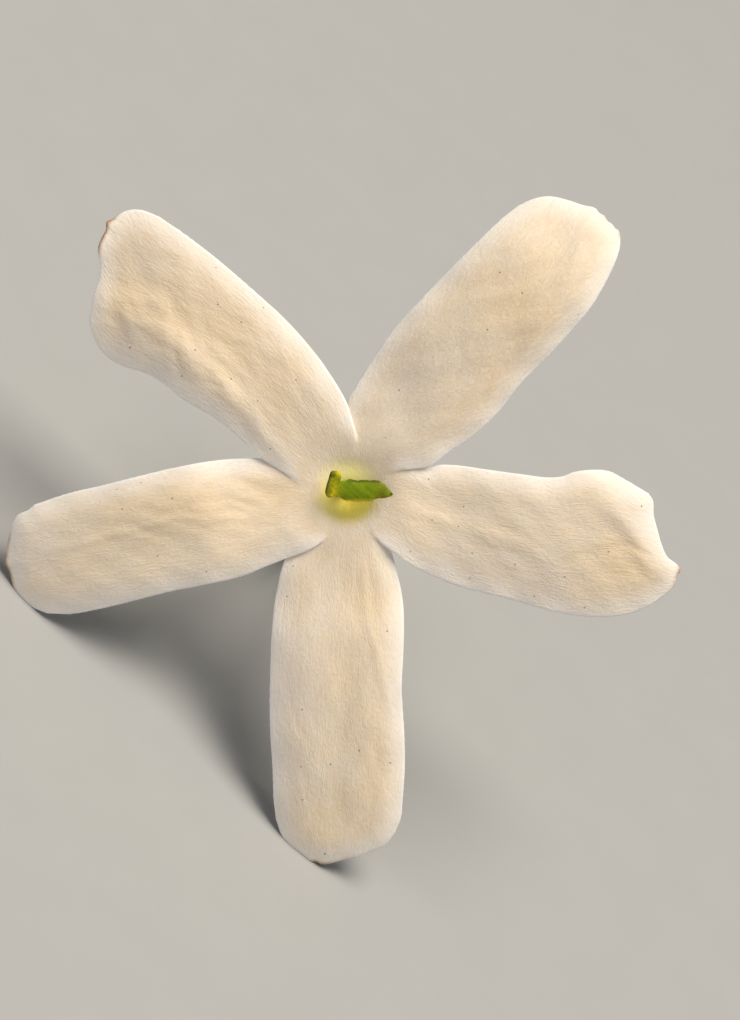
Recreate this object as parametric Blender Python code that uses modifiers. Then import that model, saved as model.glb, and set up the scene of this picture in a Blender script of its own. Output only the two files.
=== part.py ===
"""A jasmine flower, as picked, lying on the tips of two petals and the cut end of its stalk.

Lengths are in millimetres up to the last step, which scales them to metres. The flower is modelled
on its own axis: the middle of its mouth is the origin, +Z looks out of its face, +X is to the right
and +Y up as it is seen from the front. An empty then rolls it, tips it and sets it down.
"""
import math

import bmesh
import bpy
from mathutils import Matrix, Vector

MM = 0.001

# How the flower lies
ROLL = 42.65             # degrees, turned about its own axis so that two petals reach down
FACE_TILT = 30.5         # degrees that the face looks up from the level
MOUTH = (1.46, -7.06, 14.72)  # where the middle of the mouth is, above the surface
BEND_SIDE = -155.0       # degrees in the front view, the side to which the tube and stalk bend
BEND_START = -3.0        # height on the flower's axis where the bend begins
BEND = 0.0026            # offset for each square millimetre of length

# Corolla, five petals joined into one tube
PETAL_THICKNESS = 0.6
TUBE_THICKNESS = 0.4
COLUMNS = 12             # faces across one petal
JOINED_ROWS = 3          # rows of faces from the mouth's ring to where the petals part
FREE_ROWS = 17           # rows of faces from there to the tip
RING_RADIUS = 2.3        # where the petals' grids meet the tube's
FUNNEL_DEPTH = 0.9
FUNNEL_REACH = 1.3
TUBE_PROFILE = (         # radius in the middle of the wall, height
    (2.0, -0.58), (1.75, -0.85), (1.58, -1.3), (1.5, -2.0), (1.48, -3.2), (1.48, -5.2),
    (1.42, -7.5), (1.3, -10.0), (1.15, -12.5), (1.03, -15.0), (0.96, -17.2), (0.95, -19.0))

# Where neighbouring petals part, as a direction in degrees and a distance from the axis. The first
# lies between the right petal and the upper right one, and they go round anticlockwise.
PARTINGS = ((16.3, 4.67), (90.9, 4.83), (159.3, 4.94), (227.8, 5.16), (304.8, 3.96))

# Each petal has its own axis, as a direction in degrees. Its outline is in that axis: distance out,
# then distance to the left. It is seen from the front, with the flower's axis as the origin. The
# first and the last point of the tip are the ends of the two sides.
PETALS = {
    "right": {
        "axis": -12.0,
        "right": ((5.6, -3.7), (9.8, -4.05), (13.0, -4.2), (15.2, -3.9)),
        "tip": ((16.5, -3.45), (17.6, -2.8), (18.6, -1.7), (18.9, -0.5), (18.0, 0.0), (17.1, 1.3),
                (16.7, 2.4), (16.1, 3.2)),
        "left": ((7.3, 2.7), (10.5, 3.0), (13.0, 3.9), (14.9, 3.75)),
        "rise": (0.0, 0.45, 0.55, 0.1, -0.7),
        "twist": 0.25,
        "fold": ((13.4, 3.4), (17.85, -0.15), 0.4)},
    "upper_right": {
        "axis": 49.0,
        "right": ((6.5, -3.2), (10.6, -3.35), (14.4, -3.5), (17.6, -3.25)),
        "tip": ((18.8, -2.95), (20.1, -2.4), (20.75, -1.2), (20.6, 0.1), (20.1, 1.2),
                (19.5, 2.2), (18.7, 2.95)),
        "left": ((6.4, 3.7), (10.7, 3.85), (15.3, 3.6), (17.4, 3.35)),
        "rise": (0.0, 0.35, 0.6, 0.6, -0.45),
        "twist": -0.15,
        "fold": ((19.5, -3.5), (14.5, 4.0), 0.2)},
    "upper_left": {
        "axis": 137.0,
        "right": ((6.0, -4.2), (8.7, -4.5), (14.3, -4.4), (17.5, -4.0)),
        "tip": ((18.7, -3.6), (19.6, -2.6), (19.85, -1.7), (19.3, -0.8), (18.4, 0.3),
                (17.5, 1.9), (16.6, 3.1)),
        "left": ((7.8, 2.1), (11.4, 2.6), (13.7, 3.55), (15.4, 3.65)),
        "rise": (0.1, 0.7, 0.9, 0.5, -0.3),
        "twist": -0.35,
        "fold": ((19.9, -3.6), (16.4, 1.0), -0.3)},
    "left": {
        "axis": 191.0,
        "right": ((8.3, -3.0), (13.1, -2.85), (16.2, -2.65)),
        "tip": ((17.7, -2.3), (18.5, -1.8), (18.95, -0.9), (19.3, 0.2), (19.2, 1.7), (18.9, 2.5),
                (18.2, 3.15)),
        "left": ((8.4, 3.6), (13.2, 3.8), (16.5, 3.75)),
        "rise": (0.0, 0.35, 0.4, -0.1, -0.9),
        "twist": 0.2,
        "fold": ((17.6, -3.0), (19.6, 0.4), 0.3)},
    "down": {
        "axis": 268.5,
        "right": ((6.7, -3.9), (11.8, -4.0), (16.8, -3.7), (18.4, -3.4)),
        "tip": ((19.4, -2.9), (20.2, -2.2), (20.75, -1.45), (20.55, -1.15), (20.7, -0.7),
                (20.5, 0.2), (20.05, 1.6), (19.3, 2.7)),
        "left": ((5.9, 3.2), (8.6, 3.35), (10.9, 3.15), (15.2, 3.5), (18.0, 3.35)),
        "rise": (0.0, 0.4, 0.5, 0.1, -0.7),
        "twist": -0.15,
        "fold": ((18.6, 3.6), (20.9, 0.8), 0.4)},
}
RISE_AT = (4.0, 8.0, 12.0, 16.0, 20.0)  # distances out at which each petal's rise is given
ARCH = 0.04              # fall of the margins for each square millimetre from the midline
FOLD_EASE = 0.35         # how softly a tip's corner bends back past its fold

# Pistil
OVARY_RADIUS = 0.5
STYLE_RADIUS = 0.2
STYLE_PATH = (           # x, y, height, radius
    (0.0, 0.0, -19.05, 0.3), (0.0, 0.0, -18.8, OVARY_RADIUS), (0.0, 0.0, -18.3, OVARY_RADIUS),
    (0.0, 0.0, -17.8, 0.36), (0.0, 0.0, -17.3, 0.24), (0.0, 0.0, -16.0, STYLE_RADIUS),
    (0.0, 0.0, -9.0, STYLE_RADIUS), (-0.05, 0.03, -3.0, STYLE_RADIUS),
    (-0.2, 0.08, -0.6, STYLE_RADIUS), (-0.32, 0.1, 0.1, 0.24), (-0.38, 0.1, 0.5, 0.3))
LONG_LOBE = (
    (-0.75, 0.05, 0.5, 0.16), (-0.55, 0.05, 0.52, 0.4), (-0.1, 0.0, 0.54, 0.54),
    (0.5, -0.04, 0.58, 0.58), (1.1, -0.04, 0.62, 0.58), (1.65, -0.04, 0.67, 0.5),
    (2.05, -0.1, 0.72, 0.36), (2.35, -0.2, 0.76, 0.18), (2.48, -0.23, 0.78, 0.06))
SHORT_LOBE = (
    (-0.8, -0.25, 0.5, 0.2), (-0.84, 0.05, 0.58, 0.36), (-0.82, 0.4, 0.68, 0.38),
    (-0.76, 0.75, 0.78, 0.28), (-0.72, 0.98, 0.86, 0.12))

# Stamens, which are rooted in the tube's wall below its mouth
STAMEN_SIDES = (62.0, 242.0)
STAMEN_PATH = (          # distance from the axis, height, radius
    (0.93, -7.4, 0.1), (0.93, -6.6, 0.12), (0.9, -5.7, 0.12), (0.82, -5.3, 0.2),
    (0.8, -4.9, 0.27), (0.8, -3.4, 0.27), (0.82, -3.0, 0.2), (0.84, -2.75, 0.07))

# Calyx, receptacle and stalk
CALYX_PROFILE = (        # radius, height: up inside the cup, over its rim and down the outside
    (0.0, -19.35), (1.3, -19.35), (1.42, -19.1), (1.42, -17.5), (1.55, -17.35), (1.72, -17.4),
    (1.8, -17.6), (1.84, -18.4), (1.72, -19.2), (1.35, -19.8), (0.9, -20.3), (0.62, -20.9),
    (0.52, -21.8), (0.48, -23.5), (0.48, -25.2), (0.56, -26.2), (0.0, -26.2))
TOOTH_PATH = (           # distance from the axis, height, radius
    (1.76, -18.7, 0.22), (1.76, -17.6, 0.3), (1.79, -16.4, 0.28), (1.9, -15.0, 0.24),
    (2.1, -13.6, 0.18), (2.35, -12.3, 0.08))
STALK_STEPS = 32

COLOURS = {              # base colour, roughness
    "corolla": ((0.80, 0.75, 0.66), 0.6),
    "pistil": ((0.24, 0.34, 0.03), 0.5),
    "stamen": ((0.72, 0.55, 0.16), 0.7),
    "calyx": ((0.16, 0.27, 0.06), 0.55)}


def smooth(x, low, high):
    """Ease from 0 at low to 1 at high."""
    t = min(1.0, max(0.0, (x - low) / (high - low)))
    return t * t * (3.0 - 2.0 * t)


def curve_through(points, per_span=8):
    """A Catmull-Rom curve through the points, as a dense list of vectors."""
    p = [Vector(q) for q in points]
    p = [2 * p[0] - p[1]] + p + [2 * p[-1] - p[-2]]
    out = []
    for i in range(1, len(p) - 2):
        for k in range(per_span):
            t = k / per_span
            out.append(0.5 * (2 * p[i] + (p[i + 1] - p[i - 1]) * t
                              + (2 * p[i - 1] - 5 * p[i] + 4 * p[i + 1] - p[i + 2]) * t * t
                              + (3 * p[i] - 3 * p[i + 1] + p[i + 2] - p[i - 1]) * t ** 3))
    return out + [p[-2].copy()]


def spaced(line, count):
    """count + 1 points at even distances along a dense line."""
    run = [0.0]
    for a, b in zip(line, line[1:]):
        run.append(run[-1] + (b - a).length)
    out = []
    k = 0
    for i in range(count + 1):
        want = run[-1] * i / count
        while k < len(line) - 2 and run[k + 1] < want:
            k += 1
        span = run[k + 1] - run[k]
        out.append(line[k].lerp(line[k + 1], min(1.0, (want - run[k]) / span)))
    return out


def to_front(axis, point):
    """A point in a petal's own axis, turned to the front view."""
    a = math.radians(axis)
    return Vector((point[0] * math.cos(a) - point[1] * math.sin(a),
                   point[0] * math.sin(a) + point[1] * math.cos(a)))


def polar(degrees, radius):
    """A point in the front view."""
    return Vector((radius * math.cos(math.radians(degrees)), radius * math.sin(math.radians(degrees))))


def bent(co):
    """Moves a point sideways with the tube's bend."""
    down = max(0.0, BEND_START - co.z)
    side = polar(BEND_SIDE, BEND * down * down)
    return Vector((co.x + side.x, co.y + side.y, co.z))


def funnel(r):
    """Height of the joined petals, which dip to the mouth."""
    return -FUNNEL_DEPTH * math.exp(-(r - FUNNEL_REACH) / FUNNEL_REACH)


def height(petal, x, y):
    """Height of a petal's middle surface over a point of the front view."""
    a = math.radians(petal["axis"])
    out = x * math.cos(a) + y * math.sin(a)
    side = -x * math.sin(a) + y * math.cos(a)
    free = smooth(out, 3.5, 8.5)
    k = min(len(RISE_AT) - 2, max(0, int((out - RISE_AT[0]) / 4.0)))
    t = (out - RISE_AT[k]) / 4.0
    rise = petal["rise"]
    before = rise[max(0, k - 1)]
    after = rise[k + 2] if k + 2 < len(rise) else 2 * rise[k + 1] - rise[k]
    lift = 0.5 * (2 * rise[k] + (rise[k + 1] - before) * t
                  + (2 * before - 5 * rise[k] + 4 * rise[k + 1] - after) * t * t
                  + (3 * rise[k] - 3 * rise[k + 1] + after - before) * t ** 3)
    turn = petal["twist"] * smooth(out, 6.0, 18.0) * side / 3.5
    (ax, ay), (bx, by), slope = petal["fold"]
    length = math.hypot(bx - ax, by - ay)
    beyond = ((out - ax) * (by - ay) - (side - ay) * (bx - ax)) / length
    if ay * (bx - ax) > ax * (by - ay):
        beyond = -beyond
    drop = slope * 0.5 * (beyond + math.hypot(beyond, FOLD_EASE)) * smooth(out, 9.0, 13.0)
    return funnel(math.hypot(x, y)) + free * (lift + turn - ARCH * side * side) - drop


def finish(name, mesh, colour):
    """Makes a named object of a mesh, with its own material, and hangs it on the flower's axis."""
    rgb, roughness = COLOURS[colour]
    material = bpy.data.materials.new(name)
    material.use_nodes = True
    shader = material.node_tree.nodes["Principled BSDF"]
    shader.inputs["Base Color"].default_value = (*rgb, 1.0)
    shader.inputs["Roughness"].default_value = roughness
    mesh.materials.clear()
    mesh.materials.append(material)
    obj = bpy.data.objects.new(name, mesh)
    parts.objects.link(obj)
    obj.parent = flower_axis
    mesh.shade_smooth()
    mesh.set_sharp_from_angle(angle=math.radians(40))
    return obj


def rod(path, resolution=3):
    """A closed tapering rod along x, y, height, radius points, as a mesh in millimetres."""
    curve = bpy.data.curves.new("rod", "CURVE")
    curve.dimensions = "3D"
    curve.bevel_depth = 1.0
    curve.bevel_resolution = resolution
    curve.use_fill_caps = True
    spline = curve.splines.new("POLY")
    spline.points.add(len(path) - 1)
    for point, (x, y, z, radius) in zip(spline.points, path):
        point.co = (x, y, z, 1.0)
        point.radius = radius
    obj = bpy.data.objects.new("rod", curve)
    bpy.context.scene.collection.objects.link(obj)
    bpy.context.view_layer.update()
    mesh = bpy.data.meshes.new_from_object(obj.evaluated_get(bpy.context.evaluated_depsgraph_get()))
    bpy.data.objects.remove(obj)
    bm = bmesh.new()
    bm.from_mesh(mesh)
    bmesh.ops.remove_doubles(bm, verts=bm.verts, dist=0.0005)
    bmesh.ops.recalc_face_normals(bm, faces=bm.faces)
    bm.to_mesh(mesh)
    bm.free()
    return mesh


def united(base, others):
    """One mesh from a base mesh and the meshes that a union joins to it, in millimetres."""
    joined = bpy.data.collections.new("joined")
    bpy.context.scene.collection.children.link(joined)
    for mesh in others:
        joined.objects.link(bpy.data.objects.new("joined_piece", mesh))
    obj = bpy.data.objects.new("base", base)
    bpy.context.scene.collection.objects.link(obj)
    union = obj.modifiers.new("union", "BOOLEAN")
    union.operation = "UNION"
    union.operand_type = "COLLECTION"
    union.collection = joined
    union.solver = "EXACT"
    bpy.context.view_layer.update()
    mesh = bpy.data.meshes.new_from_object(obj.evaluated_get(bpy.context.evaluated_depsgraph_get()))
    for piece in list(joined.objects) + [obj]:
        bpy.data.objects.remove(piece)
    bpy.data.collections.remove(joined)
    return mesh


def to_metres(mesh, follow_bend=True):
    """Bends a mesh with the tube, splits it into triangles and scales it to metres."""
    bm = bmesh.new()
    bm.from_mesh(mesh)
    bmesh.ops.triangulate(bm, faces=bm.faces)
    for v in bm.verts:
        co = bent(v.co) if follow_bend else v.co
        v.co = co * MM
    bm.to_mesh(mesh)
    bm.free()
    return mesh


def shaped_grid(bm, columns, rows, place):
    """Adds a grid of triangles to bm and moves each vertex to place(row, column)."""
    made = bmesh.ops.create_grid(bm, x_segments=columns, y_segments=rows, size=0.5)["verts"]
    for v in made:
        column = round((v.co.x + 0.5) * columns)
        row = round((v.co.y + 0.5) * rows)
        v.co = place(row, column)


def petal_grid(bm, petal, first, second):
    """Adds one petal, from the mouth's ring between two partings out to its tip."""
    axis = petal["axis"]
    tip = spaced(curve_through([to_front(axis, p) for p in petal["tip"]]), COLUMNS)
    sides = []
    for (turn, far), side, end in ((first, "right", tip[0]), (second, "left", tip[-1])):
        ring = polar(turn, RING_RADIUS)
        parting = polar(turn, far)
        free = [parting] + [to_front(axis, p) for p in petal[side]] + [end]
        inner = [ring.lerp(parting, i / JOINED_ROWS) for i in range(JOINED_ROWS)]
        sides.append(inner + spaced(curve_through(free), FREE_ROWS))
    turn_a, turn_b = first[0], second[0]
    if turn_b < turn_a:
        turn_b += 360.0
    rows = JOINED_ROWS + FREE_ROWS
    ring_arc = [polar(turn_a + (turn_b - turn_a) * c / COLUMNS, RING_RADIUS)
                for c in range(COLUMNS + 1)]

    def place(row, column):
        s = row / rows
        t = column / COLUMNS
        a = sides[0][row]
        b = sides[1][row]
        flat = (a.lerp(b, t) + ring_arc[column].lerp(tip[column], s)
                - (ring_arc[0] * (1 - t) + ring_arc[-1] * t).lerp(tip[0] * (1 - t) + tip[-1] * t, s))
        return Vector((flat.x, flat.y, height(petal, flat.x, flat.y)))

    shaped_grid(bm, COLUMNS, rows, place)


def tube_grid(bm):
    """Adds the tube under the ring, with a column under each column of the petals."""
    turns = []
    for i, (turn, far) in enumerate(PARTINGS):
        after = PARTINGS[(i + 1) % len(PARTINGS)][0]
        after += 360.0 if after < turn else 0.0
        turns += [turn + (after - turn) * c / COLUMNS for c in range(COLUMNS)]
    turns.append(turns[0] + 360.0)
    rings = ((RING_RADIUS, funnel(RING_RADIUS)),) + TUBE_PROFILE

    def place(row, column):
        radius, z = rings[row]
        flat = polar(turns[column], radius)
        return bent(Vector((flat.x, flat.y, z)))

    shaped_grid(bm, len(turns) - 1, len(rings) - 1, place)


for old in list(bpy.data.objects):
    bpy.data.objects.remove(old)

parts = bpy.data.collections.new("jasmine_flower")
cutters = bpy.data.collections.new("cutters")
for collection in (parts, cutters):
    bpy.context.scene.collection.children.link(collection)

flower_axis = bpy.data.objects.new("flower_axis", None)
parts.objects.link(flower_axis)
flower_axis.matrix_world = (Matrix.Translation(Vector(MOUTH) * MM)
                            @ Matrix.Rotation(math.radians(90.0 - FACE_TILT), 4, "X")
                            @ Matrix.Rotation(math.radians(ROLL), 4, "Z"))

# The surface that the flower lies on: it leaves a small flat spot on each petal tip that touches it
floor_mesh = bpy.data.meshes.new("surface")
bm = bmesh.new()
bmesh.ops.create_cube(bm, size=0.1)
bm.to_mesh(floor_mesh)
bm.free()
surface = bpy.data.objects.new("surface", floor_mesh)
surface.location = (0.0, 0.0, -0.05)
surface.hide_render = True
surface.display_type = "WIRE"
cutters.objects.link(surface)


def rest_flat(obj):
    """Cuts away what would reach below the surface."""
    cut = obj.modifiers.new("rest_flat", "BOOLEAN")
    cut.operation = "DIFFERENCE"
    cut.object = surface
    cut.solver = "EXACT"


# Corolla: one grid for each petal and one for the tube, welded into one sheet and thickened
mesh = bpy.data.meshes.new("corolla")
bm = bmesh.new()
for i, name in enumerate(("upper_right", "upper_left", "left", "down", "right")):
    petal_grid(bm, PETALS[name], PARTINGS[i], PARTINGS[(i + 1) % 5])
tube_grid(bm)
bmesh.ops.remove_doubles(bm, verts=bm.verts, dist=0.01)
bmesh.ops.recalc_face_normals(bm, faces=bm.faces)
bmesh.ops.triangulate(bm, faces=bm.faces, quad_method="FIXED")
for v in bm.verts:
    v.co *= MM
bm.to_mesh(mesh)
bm.free()
corolla = finish("corolla", mesh, "corolla")
full = corolla.vertex_groups.new(name="full_thickness")
for v in mesh.vertices:
    full.add([v.index], smooth(v.co.z / MM, -1.6, -0.3), "REPLACE")
thick = corolla.modifiers.new("thickness", "SOLIDIFY")
thick.thickness = PETAL_THICKNESS * MM
thick.offset = 0.0
thick.vertex_group = "full_thickness"
thick.thickness_vertex_group = TUBE_THICKNESS / PETAL_THICKNESS
rest_flat(corolla)

# Pistil: ovary and style as one rod, with the two lobes of the stigma joined on
lobes = []
for path in (LONG_LOBE, SHORT_LOBE):
    lobes.append(rod(path))
finish("pistil", to_metres(united(rod(STYLE_PATH), lobes)), "pistil")

# Stamens: filament and anther as one rod each
for i, turn in enumerate(STAMEN_SIDES):
    path = [(*polar(turn, r), z, radius) for r, z, radius in STAMEN_PATH]
    finish(f"stamen_{i + 1}", to_metres(rod(path, 2)), "stamen")

# Calyx: a turned cup, receptacle and stalk, with five narrow teeth joined to the rim
profile = bpy.data.meshes.new("calyx_profile")
profile.from_pydata([(r, 0.0, z) for r, z in CALYX_PROFILE],
                    [(i, i + 1) for i in range(len(CALYX_PROFILE) - 1)], [])
turned = bpy.data.objects.new("calyx_profile", profile)
bpy.context.scene.collection.objects.link(turned)
screw = turned.modifiers.new("turn", "SCREW")
screw.steps = STALK_STEPS
screw.render_steps = STALK_STEPS
screw.use_merge_vertices = True
screw.merge_threshold = 0.0001
bpy.context.view_layer.update()
cup = bpy.data.meshes.new_from_object(turned.evaluated_get(bpy.context.evaluated_depsgraph_get()))
bpy.data.objects.remove(turned)
teeth = [rod([(*polar(turn, r), z, radius) for r, z, radius in TOOTH_PATH], 2)
         for turn, far in PARTINGS]
rest_flat(finish("calyx", to_metres(united(cup, teeth)), "calyx"))
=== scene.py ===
"""A jasmine flower as picked, lying on the tips of two petals and the cut end of its stalk."""

import math

import bpy
import numpy as np
from mathutils import Matrix, Vector


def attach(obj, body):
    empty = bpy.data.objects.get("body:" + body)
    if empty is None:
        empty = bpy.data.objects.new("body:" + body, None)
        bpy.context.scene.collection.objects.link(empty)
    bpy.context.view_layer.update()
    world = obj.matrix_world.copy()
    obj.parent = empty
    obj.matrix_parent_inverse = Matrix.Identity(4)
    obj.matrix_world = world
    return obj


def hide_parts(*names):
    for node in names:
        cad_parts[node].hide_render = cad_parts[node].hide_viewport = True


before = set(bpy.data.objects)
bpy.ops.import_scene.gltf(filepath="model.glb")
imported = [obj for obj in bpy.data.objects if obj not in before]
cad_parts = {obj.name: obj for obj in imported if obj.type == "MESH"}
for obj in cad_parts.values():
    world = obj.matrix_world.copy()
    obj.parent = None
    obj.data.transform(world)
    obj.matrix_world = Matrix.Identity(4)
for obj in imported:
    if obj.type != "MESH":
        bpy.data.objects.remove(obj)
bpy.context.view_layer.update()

# Corolla
#
# Five thin white petals that grew as one piece with the tube under them. They overlap in turn where
# they join, each is a soft sheet with fine lengthwise fibres, and their margins are rolled and paler: partly
# thinner tissue, partly a painted highlight along the edge.
MM = 0.001
MOUTH = (1.46, -7.06, 14.72)   # middle of the mouth, above the surface that the flower lies on
FACE_TURN = np.array(Matrix.Rotation(math.radians(59.5), 3, "X")
                     @ Matrix.Rotation(math.radians(42.65), 3, "Z"))
BEND_SIDE = math.radians(-155.0)
BEND_START = -3.0
BEND = 0.0026

RING = 0.8               # where the petals end, down in the throat and inside its wall
PETAL_THICKNESS = 0.26
RIM = 1.5                # width of the pale band along the margin: partly thinner tissue, partly a painted rim highlight
MARGIN_ROUND = 0.16      # how far in from the margin the petal reaches its full thickness
FUNNEL_DEPTH = 0.6
FUNNEL_REACH = 1.3
ARCH = 0.026
MARGIN_ROLL = (1.5, 0.38)      # how far in from the margin it starts to roll back, and how far it falls
FOLD_EASE = 0.35
TUBE_PROFILE = (         # middle of the wall: radius, height, from under the petals down into the calyx
    (3.0, -0.162), (2.6, -0.221), (2.3, -0.278), (1.9, -0.378), (1.5, -0.51), (1.15, -0.68), (0.9, -0.88),
    (0.74, -1.15), (0.66, -1.6), (0.66, -2.2), (0.78, -2.8), (0.95, -3.3), (1.12, -3.9), (1.22, -4.8),
    (1.24, -6.0), (1.24, -7.5), (1.18, -10.0), (1.09, -12.5), (1.01, -15.0), (0.96, -17.2), (0.95, -19.0))
CRINKLE = 0.01           # spread of the fine wrinkles' height where they are strongest
PETAL_WIDTH = 7.5        # a petal's mean width, for what runs across it at an even scale
MOUTH_RADIUS = 2.8       # inside this the petals follow the curve down into the tube

# Distances in which something comes in or fades: nothing before the first, all of it past the second
FREE = (3.5, 8.5)              # out along a petal: its own rise, twist and arch
FOLD_BEGINS = (9.0, 13.0)      # out along a petal: the fold at its tip
OVERLAP_BEGINS = (1.9, 4.2)    # from the flower's axis: the petals' lying over each other
OVERLAP_ENDS = (6.0, 10.0)     # from the flower's axis: where they part again
OWN_MARGIN = (1.9, 3.6)        # from the flower's axis: a margin of the petal's own
SEAM_LEFT = (2.3, 3.8)         # from the flower's axis: seams left as they are, not evened out

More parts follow.
